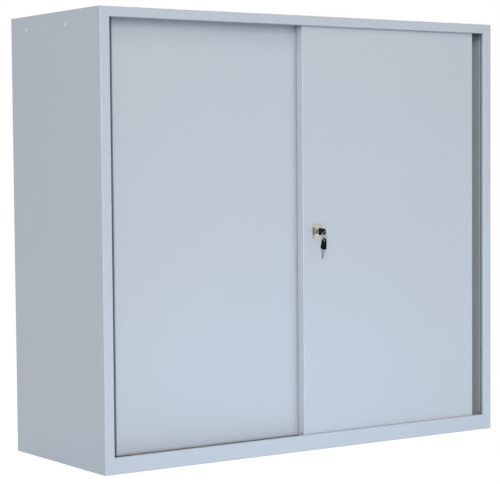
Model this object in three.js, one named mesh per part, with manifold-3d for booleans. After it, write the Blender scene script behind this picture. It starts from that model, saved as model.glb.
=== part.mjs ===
// Sliding door cabinet of folded sheet steel, with two doors that pass each other on rollers.
// Millimetres. X runs to the right as seen from the front, Y to the back and Z up.
// The origin is the middle of the base, on the floor.

import * as THREE from 'three';
import { mergeVertices } from 'three/addons/utils/BufferGeometryUtils.js';
import Module from 'manifold-3d';

const wasm = await Module();
wasm.setup();

// Case
const caseWidth = 1200;
const caseDepth = 450;
const caseHeight = 1090;
const sheet = 1;
const foldRadius = 1.5;
const foldSteps = 3;
const seatGap = 0.3;
const overrun = 5;

// Flanges that frame the front and close the back
const sideFlange = 26;
const topFlange = 24;
const bottomFlange = 40;
const flangeReturn = 9;
const rearFlange = 20;
const topRearFlange = 22;
const topSideFlange = 50;
const topSideFlangeInset = 16;

// Floor and the bearer under it
const floorHeight = 40;
const floorFrontClearance = 8;
const floorSideFlangeInset = 6;
const bearerWidth = 60;
const bearerLip = 18;

// Screws that hold the top between the sides
const screwDrop = 33;
const frontScrewSetback = 165;
const rearScrewInset = 80;
const screwHeadRadius = 5;
const screwHeadHeight = 2.4;
const screwHeadCorner = 1.6;
const screwShankRadius = 2.2;
const screwShankLength = 9;
const screwRecessWidth = 1.1;
const screwRecessLength = 5.4;
const screwRecessDepth = 1.3;
const screwSides = 20;

// Doors
const doorSetback = 12;
const doorThickness = 25;
const doorGap = 6;
const doorEndGap = 29;
const doorOverlap = 36;
const doorFloorGap = 34;
const doorTopGap = 19;
const doorLip = 12;
const hangHoleRadius = 2.2;
const hangHoleRise = 10.5;
const hangHoleSides = 12;
const stiffenerCrown = 32;
const stiffenerDepth = 19;
const stiffenerLip = 14;
const stiffenerEndGap = 62;

// Rollers under the doors
const rollerInset = 60;
const rollerRadius = 16;
const grooveRadius = 13;
const grooveWidth = 4.6;
const rollerWidth = 9;
const rollerChamfer = 0.8;
const rollerSides = 28;
const axleRadius = 2.5;
const axleHeadRadius = 4;
const axleHeadLength = 1.4;
const axleSides = 16;
const axleRise = 9;
const bracketSheet = 1.5;
const bracketLength = 36;
const bracketFoot = 3.4;
const bracketSideGap = 1;
const bracketTopGap = 3;
const rollerSlotGap = 1.5;

// Tracks the doors run in
const railWidth = 3;
const railBase = 1.5;
const railMargin = 4;
const railSteps = 6;
const topTrackSheet = 1;
const topTrackDrop = 13;
const topTrackLane = 10;
const topTrackEndGap = 3;
const stopLength = 19;
const stopRollerGap = 0.5;
const stopDoorGap = 2;

// Nylon guides on top of the doors
const guideLength = 34;
const guideInset = 90;
const guideBaseWidth = 20;
const guideBaseHeight = 3;
const guideFinWidth = 8;
const guideTopGap = 4;
const guideChamfer = 5;

// Shelf uprights, shelves and clips
const uprightDepth = 12;
const uprightWidth = 30;
const uprightFrontGap = 27;
const landSetback = 40;
const landDepth = 4;
const uprightRearGap = 24;
const slotWidth = 14;
const slotHeight = 4;
const slotPitch = 50;
const slotStart = 60;
const shelfSlots = [5, 12];
const shelfFrontGap = 14;
const shelfRearGap = 8;
const shelfEndGap = 2;
const shelfEdge = 25;
const shelfLip = 12;
const clipWidth = 12;
const clipSheet = 2;
const clipReach = 15;
const clipTab = 16;
const clipRise = 9;
const clipHook = 6;

// Lock in the front door
const lockInset = 42;
const lockHeight = 552;
const lockPlateWidth = 28;
const lockPlateHeight = 38;
const lockPlateThickness = 1.5;
const lockPlateCorner = 3;
const lockRimRadius = 9;
const lockRimHeight = 1.5;
const lockBarrelRadius = 9.5;
const lockBarrelLength = 21;
const lockSides = 28;
const nutFlats = 24;
const nutSides = 6;
const nutThickness = 4;
const plugRadius = 6.5;
const plugProud = 2.4;
const plugTailRadius = 4;
const camThickness = 2;
const camDoorGap = 2;
const camWidth = 14;
const camReach = 28;
const keeperPlay = 3.5;
const keeperSheet = 1.5;
const keeperWidth = 14;
const keeperHeight = 20;
const keeperRise = 11;
const keeperProud = 4.5;

// Keys
const bladeThickness = 2;
const bladeHeight = 6;
const bladeLength = 23;
const bladeTang = 6;
const bladeShoulder = 3;
const bladeCutShares = [0.18, 0.34, 0.5, 0.66, 0.82];
const bladeCutWidthShare = 0.12;
const bladeDepthShares = [0.3, 0.2, 0.4, 0.24, 0.34];
const headLength = 29;
const headWidth = 21;
const headRingEndWidth = 14;
const headThickness = 3.2;
const headCorner = 6;
const headHoleRadius = 3;
const headHoleInset = 5.5;
const headLockGap = 4.5;
const ringRadius = 9;
const ringWireRadius = 0.9;
const ringWireSides = 8;
const ringSides = 36;
const ringPlay = 0.5;
const ringTurn = 9;
const spareLean = 8;

// Finishes
const paint = { color: 0xbac4ce, roughness: 0.42, metalness: 0.1 };
const doorPaint = { color: 0xc0c9d2, roughness: 0.42, metalness: 0.1 };
const zincSteel = { color: 0xb4b6b4, roughness: 0.35, metalness: 0.9 };
const nickel = { color: 0xc9c5bb, roughness: 0.25, metalness: 1 };
const nylon = { color: 0xe6e4dc, roughness: 0.5, metalness: 0 };
const rubber = { color: 0x2a2b2d, roughness: 0.8, metalness: 0 };
const blackPlastic = { color: 0x141416, roughness: 0.45, metalness: 0 };

// Places that several pieces share
const sideDepth = caseDepth - sheet - seatGap;
const skinInside = sheet + seatGap;
const innerHeight = caseHeight - sheet - seatGap;
const doorWidth = (caseWidth - 2 * sideFlange - 2 * doorEndGap + doorOverlap) / 2;
const doorHeight = caseHeight - doorTopGap - doorFloorGap;
const leftDoorX = sideFlange + doorEndGap;
const rightDoorX = caseWidth - sideFlange - doorEndGap - doorWidth;
const frontLane = doorSetback + doorThickness / 2;
const rearLane = frontLane + doorThickness + doorGap;
const rearDoorFace = doorSetback + doorThickness + doorGap;
const lanesBack = rearDoorFace + doorThickness;
const floorFront = lanesBack + floorFrontClearance;
const floorUnderside = floorHeight - sheet - seatGap;
const axleHeight = doorFloorGap + axleRise;
const railTop = axleHeight - grooveRadius - seatGap;
const railSeat = sheet + seatGap;
const screwSetbacks = [frontScrewSetback, caseDepth - rearScrewInset];
const uprightFace = skinInside + uprightDepth;
const uprightTop = caseHeight - topSideFlange - seatGap;
const landFace = skinInside + landDepth;
const landTop = innerHeight - topTrackSheet - topTrackDrop - seatGap;
const uprightSetbacks = [lanesBack + uprightFrontGap, sideDepth - uprightRearGap - uprightWidth];
const holeRadius = screwShankRadius + seatGap;
const lockX = rightDoorX + lockInset;
const plugFront = lockRimHeight + plugProud;
const camFront = doorThickness + camDoorGap;
const plugTailEnd = camFront + camThickness + seatGap;
const keywayDepth = bladeLength - headLockGap + seatGap;
const ringDrop = headHoleRadius - ringWireRadius - ringPlay;

const degree = Math.PI / 180;

// A straight step from one point to the next, as a unit vector
function direction(from, to) {
  return to.clone().sub(from).normalize();
}

// The two faces of a folded sheet that follows a line of corner points.
// The sheet lies to the left of the line, and each corner gets the fold radius.
function foldedFaces(corners, thickness) {
  const points = corners.map(([x, y]) => new THREE.Vector2(x, y));
  const near = [];
  const far = [];
  points.forEach((corner, i) => {
    if (i === 0 || i === points.length - 1) {
      const step = i === 0 ? direction(corner, points[1]) : direction(points[i - 1], corner);
      near.push(corner);
      far.push(new THREE.Vector2(corner.x - step.y * thickness, corner.y + step.x * thickness));
      return;
    }
    const before = direction(points[i - 1], corner);
    const after = direction(corner, points[i + 1]);
    const turn = Math.atan2(before.cross(after), before.dot(after));
    const side = Math.sign(turn);
    const nearRadius = side > 0 ? foldRadius + thickness : foldRadius;
    const farRadius = side > 0 ? foldRadius : foldRadius + thickness;
    const setback = nearRadius * Math.tan(Math.abs(turn) / 2);
    const inward = new THREE.Vector2(-before.y, before.x).multiplyScalar(side);
    const centre = corner.clone().addScaledVector(before, -setback).addScaledVector(inward, nearRadius);
    for (let step = 0; step <= foldSteps; step += 1) {
      const angle = turn * step / foldSteps;
      const spoke = inward.clone().negate().rotateAround(new THREE.Vector2(), angle);
      near.push(centre.clone().addScaledVector(spoke, nearRadius));
      far.push(centre.clone().addScaledVector(spoke, farRadius));
    }
  });
  return { near, far };
}

// A closed outline of a folded sheet
function foldedShape(corners, thickness) {
  const { near, far } = foldedFaces(corners, thickness);
  return new THREE.Shape([...near, ...far.reverse()]);
}

// The area that the line of a folded sheet encloses, with the same round corners
function filledShape(corners, thickness) {
  return new THREE.Shape(foldedFaces(corners, thickness).near);
}

// Extrusions along the three axes. The outline is drawn in XY, YZ or XZ.
function extrudeUp(shape, from, to) {
  const geometry = new THREE.ExtrudeGeometry(shape, { depth: to - from, bevelEnabled: false });
  return geometry.translate(0, 0, from);
}

function extrudeAcross(shape, from, to) {
  const turn = new THREE.Matrix4().set(0, 0, 1, 0, 1, 0, 0, 0, 0, 1, 0, 0, 0, 0, 0, 1);
  return extrudeUp(shape, from, to).applyMatrix4(turn);
}

function extrudeBack(shape, from, to) {
  return extrudeUp(shape, -to, -from).rotateX(90 * degree);
}

// A block between two opposite corners
function block([x0, x1], [y0, y1], [z0, z1]) {
  const geometry = new THREE.BoxGeometry(x1 - x0, y1 - y0, z1 - z0);
  return geometry.translate((x0 + x1) / 2, (y0 + y1) / 2, (z0 + z1) / 2);
}

// A round solid about the Y axis, from [radius, y] pairs that start and end on the axis
function turned(profile, sides) {
  const points = profile.map(([radius, y]) => new THREE.Vector2(radius, y));
  return new THREE.LatheGeometry(points, sides);
}

function rod(radius, from, to, sides) {
  return turned([[0, from], [radius, from], [radius, to], [0, to]], sides);
}

function ringShape(outline, holeCentre, radius, sides) {
  const hole = new THREE.Path();
  const step = 2 * Math.PI / sides;
  for (let i = 0; i < sides; i += 1) {
    const [x, y] = [Math.cos(step * i) * radius, Math.sin(step * i) * radius];
    if (i === 0) {
      hole.moveTo(holeCentre.x + x, holeCentre.y + y);
    } else {
      hole.lineTo(holeCentre.x + x, holeCentre.y + y);
    }
  }
  outline.holes.push(hole);
  return outline;
}

// Cuts and joins
function toSolid(geometry) {
  const bare = new THREE.BufferGeometry();
  bare.setAttribute('position', geometry.attributes.position);
  bare.setIndex(geometry.index);
  const closed = mergeVertices(bare);
  const mesh = new wasm.Mesh({
    numProp: 3,
    vertProperties: closed.attributes.position.array,
    triVerts: closed.index.array,
  });
  return new wasm.Manifold(mesh);
}

function toGeometry(solid) {
  const mesh = solid.getMesh();
  const geometry = new THREE.BufferGeometry();
  geometry.setAttribute('position', new THREE.BufferAttribute(mesh.vertProperties, 3));
  geometry.setIndex(new THREE.BufferAttribute(mesh.triVerts, 1));
  geometry.computeVertexNormals();
  return geometry;
}

function join(geometries) {
  return toGeometry(geometries.map(toSolid).reduce((whole, piece) => whole.add(piece)));
}

function cut(geometry, tools) {
  return toGeometry(tools.map(toSolid).reduce((rest, tool) => rest.subtract(tool), toSolid(geometry)));
}

// The same piece on the other side of the case
function mirrored(geometry) {
  const other = geometry.clone();
  other.scale(-1, 1, 1).translate(caseWidth, 0, 0);
  const order = other.index ? other.index.array : Uint32Array.from(
    { length: other.attributes.position.count }, (_, i) => i);
  const flipped = order.slice();
  for (let i = 0; i < order.length; i += 3) {
    flipped[i] = order[i + 1];
    flipped[i + 1] = order[i];
  }
  other.setIndex(new THREE.BufferAttribute(flipped, 1));
  return other;
}

function mesh(name, geometry, finish, place = [0, 0, 0]) {
  const piece = new THREE.Mesh(geometry, new THREE.MeshStandardMaterial(finish));
  piece.name = name;
  piece.position.set(...place);
  return piece;
}

// Height of the mitre line between the side flange and the top flange
function mitreHeight(x) {
  return caseHeight - topFlange + (sideFlange - x) * topFlange / sideFlange;
}

// Wedge above or below the mitre line at the left front corner
function mitreWedge(above, gap, from) {
  const to = sideFlange + overrun;
  const end = above ? caseHeight + overrun : caseHeight - topFlange - 2 * overrun;
  const shape = new THREE.Shape([
    new THREE.Vector2(from, mitreHeight(from) + gap),
    new THREE.Vector2(to, mitreHeight(to) + gap),
    new THREE.Vector2(to, end),
    new THREE.Vector2(from, end),
  ]);
  return extrudeBack(shape, -overrun, flangeReturn + overrun);
}

function screwHoles() {
  return screwSetbacks.map((setback) => rod(holeRadius, -overrun, overrun + sheet, screwSides)
    .rotateZ(-90 * degree).translate(0, setback, caseHeight - screwDrop));
}

// Side skin with its front flange, the safe return behind it and the rear flange
function sidePanel() {
  const corners = [
    [rearFlange, sideDepth], [0, sideDepth], [0, 0], [sideFlange, 0], [sideFlange, flangeReturn]];
  const folded = extrudeUp(foldedShape(corners, sheet), 0, caseHeight);
  const rearTop = block([sheet, rearFlange + overrun],
    [sideDepth - sheet - foldRadius - seatGap, sideDepth + overrun],
    [innerHeight, caseHeight + overrun]);
  return cut(folded, [mitreWedge(true, 0, sheet), rearTop, ...screwHoles()]);
}

// Clearance round the rear flange of a side panel
function rearNotch(bottom, top) {
  return block([0, rearFlange + seatGap],
    [sideDepth - sheet - foldRadius - seatGap, sideDepth + overrun], [bottom, top]);
}

// Top tray: front flange mitred into the sides, side flanges for the screws, rear flange
function topPanel() {
  const flangeBottom = caseHeight - topFlange;
  const corners = [
    [sideDepth, caseHeight - topRearFlange], [sideDepth, caseHeight], [0, caseHeight],
    [0, flangeBottom], [flangeReturn, flangeBottom]];
  const folded = extrudeAcross(foldedShape(corners, sheet), skinInside, caseWidth - skinInside);
  const flange = block([skinInside, skinInside + sheet],
    [uprightSetbacks[0], sideDepth - topSideFlangeInset],
    [caseHeight - topSideFlange, caseHeight - sheet / 2]);
  const tray = join([folded, flange, mirrored(flange)]);
  const notch = rearNotch(caseHeight - topRearFlange - overrun, caseHeight - sheet);
  const leftCuts = [mitreWedge(false, seatGap, 0), notch, ...screwHoles()];
  return cut(tray, [...leftCuts, ...leftCuts.map(mirrored)]);
}

// Floor tray behind the door lanes, folded down on all four sides
function floorPanel() {
  const corners = [[sideDepth, 0], [sideDepth, floorHeight], [floorFront, floorHeight], [floorFront, 0]];
  const folded = extrudeAcross(foldedShape(corners, sheet), skinInside, caseWidth - skinInside);
  const flange = block([skinInside, skinInside + sheet],
    [floorFront + floorSideFlangeInset, sideDepth - rearFlange], [0, floorHeight - sheet / 2]);
  const tray = join([folded, flange, mirrored(flange)]);
  const notch = rearNotch(-overrun, floorHeight + overrun);
  return cut(tray, [notch, mirrored(notch)]);
}

// Front bottom rail, whose base runs back under the tracks
function frontRail() {
  const corners = [[flangeReturn, bottomFlange], [0, bottomFlange], [0, 0],
    [floorFront - foldRadius - seatGap, 0]];
  return extrudeAcross(foldedShape(corners, sheet), sideFlange + seatGap,
    caseWidth - sideFlange - seatGap);
}

function backPanel() {
  return block([0, caseWidth], [caseDepth - sheet, caseDepth], [0, caseHeight]);
}

// Hat section under the middle of the floor, flat on the ground
function centreBearer() {
  const middle = caseDepth / 2;
  const half = bearerWidth / 2;
  const top = floorUnderside - sheet;
  const corners = [
    [middle - half - bearerLip, top], [middle - half, top], [middle - half, 0],
    [middle + half, 0], [middle + half, top], [middle + half + bearerLip, top]];
  const end = skinInside + sheet + seatGap;
  return extrudeAcross(foldedShape(corners, sheet), end, caseWidth - end);
}

// Comb of four legs that makes two lanes for the guides
function topTrack() {
  const ends = [skinInside + sheet + topTrackEndGap, caseWidth - skinInside - sheet - topTrackEndGap];
  const legBottom = innerHeight - topTrackSheet - topTrackDrop;
  const half = topTrackLane / 2;
  const web = block(ends,
    [frontLane - half - topTrackSheet, rearLane + half + topTrackSheet],
    [innerHeight - topTrackSheet, innerHeight]);
  const legs = [frontLane, rearLane].flatMap((lane) => [lane - half - topTrackSheet, lane + half]
    .map((y) => block(ends, [y, y + topTrackSheet], [legBottom, innerHeight - topTrackSheet / 2])));
  return join([web, ...legs]);
}

// Base strip with a round-topped rib for each door's rollers
function bottomTrack() {
  const half = railWidth / 2;
  const front = doorSetback + railMargin;
  const back = lanesBack - railMargin;
  const base = railSeat + railBase;
  const points = [[front, railSeat], [back, railSeat], [back, base]];
  [rearLane, frontLane].forEach((lane) => {
    points.push([lane + half, base]);
    for (let step = 0; step <= railSteps; step += 1) {
      const angle = Math.PI * step / railSteps;
      points.push([lane + half * Math.cos(angle), railTop - half + half * Math.sin(angle)]);
    }
    points.push([lane - half, base]);
  });
  points.push([front, base]);
  const shape = new THREE.Shape(points.map(([y, z]) => new THREE.Vector2(y, z)));
  return extrudeAcross(shape, sideFlange + seatGap, caseWidth - sideFlange - seatGap);
}

// Rubber block across both ribs that the end roller of each door comes to rest against
function railStop() {
  const face = leftDoorX + rollerInset - rollerRadius - stopRollerGap;
  const span = [face - stopLength, face];
  const low = railSeat + railBase + seatGap;
  const body = block(span,
    [doorSetback + railMargin, lanesBack - railMargin], [low, doorFloorGap - stopDoorGap]);
  const ribs = [frontLane, rearLane].map((lane) => block(
    [span[0] - overrun, span[1] + overrun],
    [lane - railWidth / 2 - seatGap, lane + railWidth / 2 + seatGap],
    [low - overrun, railTop + seatGap]));
  return cut(body, ribs);
}

// Slotted upright: a channel whose open side stands against the skin. The front ones start with
// a shallow land beside the door opening, which runs up to the top track.
function upright(setback, start, top) {
  const corners = [...start, [uprightFace, setback],
    [uprightFace, setback + uprightWidth], [skinInside, setback + uprightWidth]];
  const bottom = floorHeight + seatGap;
  const channel = cut(extrudeUp(foldedShape(corners, sheet), bottom, top), [
    block([0, uprightFace + overrun], [setback - foldRadius - sheet, sideDepth],
      [uprightTop, top + overrun])]);
  const middle = setback + uprightWidth / 2;
  const slots = [];
  for (let z = floorHeight + slotStart; z < uprightTop - slotPitch / 2; z += slotPitch) {
    slots.push(block([uprightFace - sheet - overrun, uprightFace + overrun],
      [middle - slotWidth / 2, middle + slotWidth / 2], [z - slotHeight / 2, z + slotHeight / 2]));
  }
  return cut(channel, slots);
}

// Clip that hooks down behind the upright and carries a corner of a shelf
function shelfClip(setback, slotZ) {
  const middle = setback + uprightWidth / 2;
  const span = [middle - clipWidth / 2, middle + clipWidth / 2];
  const front = uprightFace + seatGap;
  const behind = uprightFace - sheet - seatGap;
  const top = slotZ + clipRise;
  const half = clipSheet / 2;
  return join([
    block([front, front + clipReach], span, [top - clipSheet, top]),
    block([front, front + clipSheet], span, [top - clipTab, top]),
    block([behind - clipSheet, front + half], span, [slotZ - half, slotZ + half]),
    block([behind - clipSheet, behind], span, [slotZ - clipHook, slotZ + half]),
  ]);
}

function shelf(slotZ) {
  const underside = slotZ + clipRise + seatGap;
  const top = underside + sheet;
  const front = lanesBack + shelfFrontGap;
  const back = sideDepth - shelfRearGap;
  const low = top - shelfEdge;
  const corners = [
    [back - shelfLip, low], [back, low], [back, top], [front, top], [front, low],
    [front + shelfLip, low]];
  const end = uprightFace + shelfEndGap;
  return extrudeAcross(foldedShape(corners, sheet), end, caseWidth - end);
}

// Pan-head screw through the left skin, its head outside
function caseScrew(setback) {
  const corner = Array.from({ length: foldSteps + 1 }, (_, i) => {
    const angle = i / foldSteps * 90 * degree;
    return [screwHeadRadius - screwHeadCorner * (1 - Math.sin(angle)),
      -screwHeadHeight + screwHeadCorner * (1 - Math.cos(angle))];
  });
  const solid = turned([
    [0, -screwHeadHeight], ...corner, [screwHeadRadius, -seatGap], [screwShankRadius, -seatGap],
    [screwShankRadius, screwShankLength], [0, screwShankLength]], screwSides);
  const depth = [-screwHeadHeight - overrun, -screwHeadHeight + screwRecessDepth];
  const thin = [-screwRecessWidth / 2, screwRecessWidth / 2];
  const long = [-screwRecessLength / 2, screwRecessLength / 2];
  return cut(solid, [block(thin, depth, long), block(long, depth, thin)])
    .rotateZ(-90 * degree).translate(0, setback, caseHeight - screwDrop);
}

// Door pan: face, returns on all four sides and an inner lip on the two upright ones
function doorPan(extraCuts) {
  const corners = [[doorLip, doorThickness], [0, doorThickness], [0, 0], [doorWidth, 0],
    [doorWidth, doorThickness], [doorWidth - doorLip, doorThickness]];
  const pan = join([
    extrudeUp(foldedShape(corners, sheet), 0, doorHeight),
    extrudeUp(filledShape(corners, sheet), 0, sheet),
    extrudeUp(filledShape(corners, sheet), doorHeight - sheet, doorHeight),
  ]);
  const halfSlot = rollerRadius + rollerSlotGap;
  const middle = doorThickness / 2;
  const slots = [rollerInset, doorWidth - rollerInset].map((x) => block(
    [x - halfSlot, x + halfSlot],
    [middle - rollerWidth / 2 - rollerSlotGap, middle + rollerWidth / 2 + rollerSlotGap],
    [-overrun, sheet + overrun]));
  const hangHoles = [0, doorWidth - sheet].map((x) => rod(
    hangHoleRadius, -overrun, sheet + overrun, hangHoleSides)
    .rotateZ(-90 * degree).translate(x, middle, hangHoleRise));
  return cut(pan, [...slots, ...hangHoles, ...extraCuts]);
}

// Upright hat section bonded to the inside of the door's face
function doorStiffener() {
  const middle = doorWidth / 2;
  const half = stiffenerCrown / 2;
  const low = sheet + seatGap;
  const corners = [
    [middle - half - stiffenerLip, low], [middle - half, low], [middle - half, low + stiffenerDepth],
    [middle + half, low + stiffenerDepth], [middle + half, low], [middle + half + stiffenerLip, low]];
  return extrudeUp(foldedShape(corners, sheet), stiffenerEndGap, doorHeight - stiffenerEndGap);
}

// Hat bracket over a roller, its feet on the bottom return and an axle hole in each cheek
function rollerBracket(x) {
  const middle = doorThickness / 2;
  const half = rollerWidth / 2 + bracketSideGap;
  const low = sheet + seatGap;
  const top = axleRise + rollerRadius + bracketTopGap;
  const corners = [
    [middle - half - bracketSheet - bracketFoot, low], [middle - half, low], [middle - half, top],
    [middle + half, top], [middle + half, low], [middle + half + bracketSheet + bracketFoot, low]];
  const hat = extrudeAcross(foldedShape(corners, bracketSheet),
    x - bracketLength / 2, x + bracketLength / 2);
  const hole = rod(axleRadius + seatGap, -overrun, doorThickness + overrun, axleSides);
  return cut(hat, [hole.translate(x, 0, axleRise)]);
}

function axle(x) {
  const middle = doorThickness / 2;
  const reach = rollerWidth / 2 + bracketSideGap + bracketSheet + seatGap;
  return turned([
    [0, -reach - axleHeadLength], [axleHeadRadius, -reach - axleHeadLength],
    [axleHeadRadius, -reach], [axleRadius, -reach], [axleRadius, reach + axleHeadLength],
    [0, reach + axleHeadLength]], axleSides).translate(x, middle, axleRise);
}

// Nylon roller with a groove that rides the rib and a bore that turns on the axle
function roller(x) {
  const bore = axleRadius + seatGap;
  const half = rollerWidth / 2;
  const groove = grooveWidth / 2;
  return turned([
    [bore, -half], [rollerRadius - rollerChamfer, -half], [rollerRadius, -half + rollerChamfer],
    [rollerRadius, -groove], [grooveRadius, -groove + rollerChamfer],
    [grooveRadius, groove - rollerChamfer], [rollerRadius, groove],
    [rollerRadius, half - rollerChamfer], [rollerRadius - rollerChamfer, half], [bore, half],
    [bore, -half]], rollerSides).translate(x, doorThickness / 2, axleRise);
}

// Guide with a base on the door's top return and a fin in its lane, sloped at both ends
function topGuide(x) {
  const middle = doorThickness / 2;
  const low = doorHeight + seatGap;
  const base = block([x - guideLength / 2, x + guideLength / 2],
    [middle - guideBaseWidth / 2, middle + guideBaseWidth / 2], [low, low + guideBaseHeight]);
  const half = guideLength / 2;
  const top = innerHeight - topTrackSheet - guideTopGap - doorFloorGap;
  const start = low + guideBaseHeight / 2;
  const fin = new THREE.Shape([
    [x - half, start], [x + half, start], [x + half, top - guideChamfer],
    [x + half - guideChamfer, top], [x - half + guideChamfer, top], [x - half, top - guideChamfer],
  ].map(([u, v]) => new THREE.Vector2(u, v)));
  return join([base, extrudeBack(fin, middle - guideFinWidth / 2, middle + guideFinWidth / 2)]);
}

// Rounded rectangle centred on the origin
function roundedRectangle(width, height, corner) {
  const [x, y] = [width / 2 - corner, height / 2 - corner];
  const centres = [[x, y], [-x, y], [-x, -y], [x, -y]];
  const points = [];
  centres.forEach(([cx, cy], quarter) => {
    for (let step = 0; step <= foldSteps; step += 1) {
      const angle = (quarter + step / foldSteps) * 90 * degree;
      points.push(new THREE.Vector2(cx + corner * Math.cos(angle), cy + corner * Math.sin(angle)));
    }
  });
  return new THREE.Shape(points);
}

// Lock parts are made about the lock's own axis, with the door's face at y = 0
function lockBody() {
  const plate = extrudeBack(roundedRectangle(lockPlateWidth, lockPlateHeight, lockPlateCorner),
    -lockPlateThickness - seatGap, -seatGap);
  const front = -lockPlateThickness - seatGap;
  const rim = rod(lockRimRadius, front - lockRimHeight, front / 2, lockSides);
  const barrel = rod(lockBarrelRadius, front / 2, lockBarrelLength, lockSides);
  const bore = rod(plugRadius + seatGap, -overrun - lockRimHeight, lockBarrelLength + overrun, lockSides);
  return cut(join([plate, rim, barrel]), [bore]);
}

function lockNut() {
  const corner = nutFlats / 2 / Math.cos(Math.PI / nutSides);
  const points = Array.from({ length: nutSides }, (_, i) => new THREE.Vector2(corner, 0)
    .rotateAround(new THREE.Vector2(), 2 * Math.PI * i / nutSides));
  const hole = lockBarrelRadius + seatGap;
  const shape = ringShape(new THREE.Shape(points), new THREE.Vector2(), hole, lockSides);
  return extrudeBack(shape, sheet + seatGap, sheet + seatGap + nutThickness);
}

function lockPlug() {
  const front = -plugFront;
  const solid = turned([[0, front], [plugRadius, front], [plugRadius, lockBarrelLength],
    [plugTailRadius, lockBarrelLength], [plugTailRadius, plugTailEnd], [0, plugTailEnd]], lockSides);
  const keyway = block([-bladeThickness / 2 - seatGap, bladeThickness / 2 + seatGap],
    [front - overrun, front + keywayDepth],
    [-bladeHeight / 2 - seatGap, bladeHeight / 2 + seatGap]);
  return cut(solid, [keyway]);
}

// Flat cam on the plug's tail. It lies level when the doors are free and stands up to lock them.
function lockCam() {
  const half = camWidth / 2;
  const outline = new THREE.Shape();
  outline.absarc(0, 0, half, 90 * degree, 270 * degree, false);
  outline.lineTo(camReach, -half);
  outline.lineTo(camReach, half);
  const shape = ringShape(outline, new THREE.Vector2(), plugTailRadius + seatGap, lockSides);
  return extrudeBack(shape, camFront, camFront + camThickness);
}

// Angle on the rear door that stands in the way of the raised cam
function lockKeeper() {
  const lipRight = lockX - leftDoorX - camWidth / 2 - keeperPlay;
  const low = lockHeight - doorFloorGap + keeperRise;
  const span = [low, low + keeperHeight];
  const plate = block([lipRight - keeperWidth, lipRight], [-keeperSheet - seatGap, -seatGap], span);
  const lip = block([lipRight - keeperSheet, lipRight], [-keeperProud, -seatGap], span);
  return join([plate, lip]);
}

// Key blade in its own plane: the shoulder at the origin, the tip along +X, cuts on the lower edge
function keyBlade() {
  const half = bladeHeight / 2;
  const bite = bladeLength * bladeCutWidthShare / 2;
  const points = [[-bladeTang, half - seatGap], [-bladeTang, -half + seatGap], [0, -half]];
  bladeCutShares.forEach((share, i) => {
    const x = bladeShoulder + (bladeLength - bladeShoulder) * share;
    points.push([x - bite, -half], [x, -half + bladeHeight * bladeDepthShares[i]], [x + bite, -half]);
  });
  points.push([bladeLength - half / 2, -half], [bladeLength, 0], [bladeLength - half / 2, half], [0, half]);
  const shape = new THREE.Shape(points.map(([x, y]) => new THREE.Vector2(x, y)));
  return extrudeUp(shape, -bladeThickness / 2, bladeThickness / 2);
}

// Moulded key head, wide at the blade and narrow at the ring hole, with a socket for the tang
function keyHead() {
  const corners = [
    [0, -headWidth / 2], [0, headWidth / 2],
    [-headLength, headRingEndWidth / 2], [-headLength, -headRingEndWidth / 2]];
  const points = corners.flatMap(([x, y], i) => {
    const corner = new THREE.Vector2(x, y);
    const before = new THREE.Vector2(...corners.at(i - 1));
    const after = new THREE.Vector2(...corners[(i + 1) % corners.length]);
    const start = corner.clone().addScaledVector(direction(corner, before), headCorner);
    const end = corner.clone().addScaledVector(direction(corner, after), headCorner);
    return new THREE.QuadraticBezierCurve(start, corner, end).getPoints(foldSteps + 1);
  });
  const hole = new THREE.Vector2(-headLength + headHoleInset, 0);
  const shape = ringShape(new THREE.Shape(points), hole, headHoleRadius, axleSides);
  const body = extrudeUp(shape, -headThickness / 2, headThickness / 2);
  const socket = block([-bladeTang - seatGap, overrun],
    [-bladeHeight / 2 - seatGap, bladeHeight / 2 + seatGap],
    [-bladeThickness / 2 - seatGap, bladeThickness / 2 + seatGap]);
  return cut(body, [socket]);
}

function keyRing() {
  return new THREE.TorusGeometry(ringRadius, ringWireRadius, ringWireSides, ringSides)
    .rotateX(90 * degree);
}

// A key turned so that its blade points to the back and its plane stands upright
function insertedKey() {
  const key = new THREE.Group();
  key.add(mesh('key_blade', keyBlade(), nickel), mesh('key_head', keyHead(), blackPlastic));
  key.rotation.set(0, 90 * degree, 90 * degree, 'XYZ');
  key.position.y = -plugFront - headLockGap;
  return key;
}

// The spare key hangs from the ring's lowest point, square to the ring, and leans to the door
function spareKey() {
  const key = new THREE.Group();
  key.add(mesh('spare_key_blade', keyBlade(), nickel), mesh('spare_key_head', keyHead(), blackPlastic));
  key.position.x = headLength - headHoleInset + ringDrop;
  const hanging = new THREE.Group().add(key);
  hanging.rotation.set(spareLean * degree, 90 * degree, ringTurn * degree, 'ZXY');
  hanging.position.z = -2 * ringRadius;
  return hanging;
}

function door(side, extraCuts) {
  const group = new THREE.Group();
  group.add(mesh(`${side}_door_pan`, doorPan(extraCuts), doorPaint));
  group.add(mesh(`${side}_door_stiffener`, doorStiffener(), doorPaint));
  [rollerInset, doorWidth - rollerInset].forEach((x, i) => {
    const tag = `${side}_door`;
    const which = i + 1;
    group.add(mesh(`${tag}_roller_bracket_${which}`, rollerBracket(x), zincSteel));
    group.add(mesh(`${tag}_axle_${which}`, axle(x), zincSteel));
    group.add(mesh(`${tag}_roller_${which}`, roller(x), nylon));
  });
  [guideInset, doorWidth - guideInset].forEach((x, i) => {
    group.add(mesh(`${side}_door_guide_${i + 1}`, topGuide(x), nylon));
  });
  return group;
}

function leftDoor() {
  const group = door('left', []);
  group.add(mesh('lock_keeper', lockKeeper(), zincSteel));
  group.position.set(leftDoorX, rearDoorFace, doorFloorGap);
  return group;
}

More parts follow.
